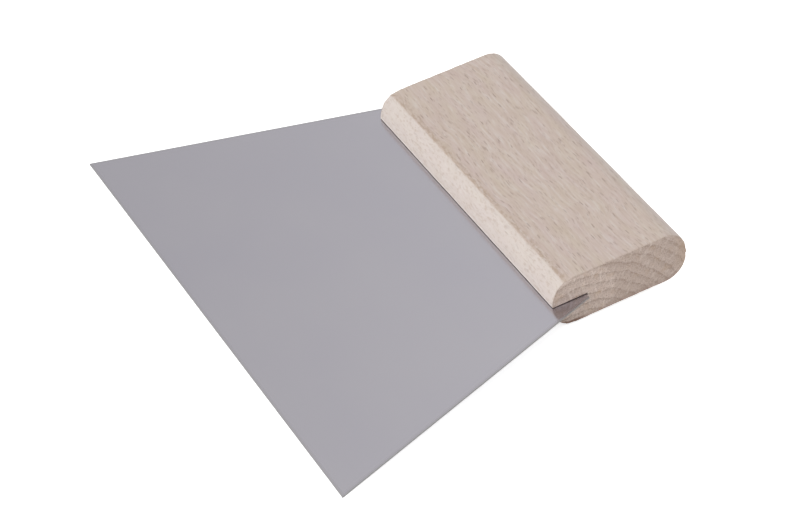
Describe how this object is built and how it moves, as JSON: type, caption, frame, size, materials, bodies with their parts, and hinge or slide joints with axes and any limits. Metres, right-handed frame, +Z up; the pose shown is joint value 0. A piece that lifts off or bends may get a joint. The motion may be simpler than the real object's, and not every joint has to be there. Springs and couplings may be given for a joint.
{
  "type": "flexible putty knife",
  "caption": "Wide flexible putty knife: a thin trapezoidal spring-steel blade glued into the sawn kerf of a short beech slab handle with rounded back.",
  "frame": {"origin": "middle of the tool's footprint, on the plane of the handle's flat underside", "axes": "+X along the handle's length, -Y towards the scraping edge, +Y towards the rounded back of the handle, +Z up, square to the blade; the blade's sheet lies parallel to X and Y at half the handle's thickness"},
  "size_m": [0.18, 0.137, 0.018],
  "materials": {
    "beech": "raw, fine-sanded pale beech, long grain along the handle",
    "blade_steel": "bright rolled spring steel, near-mirror satin",
    "glue": "dark cured wood adhesive"
  },
  "bodies": {
    "root": {"handle": "beech", "blade": "blade_steel", "glue_line": "glue"}
  },
  "joints": []
}
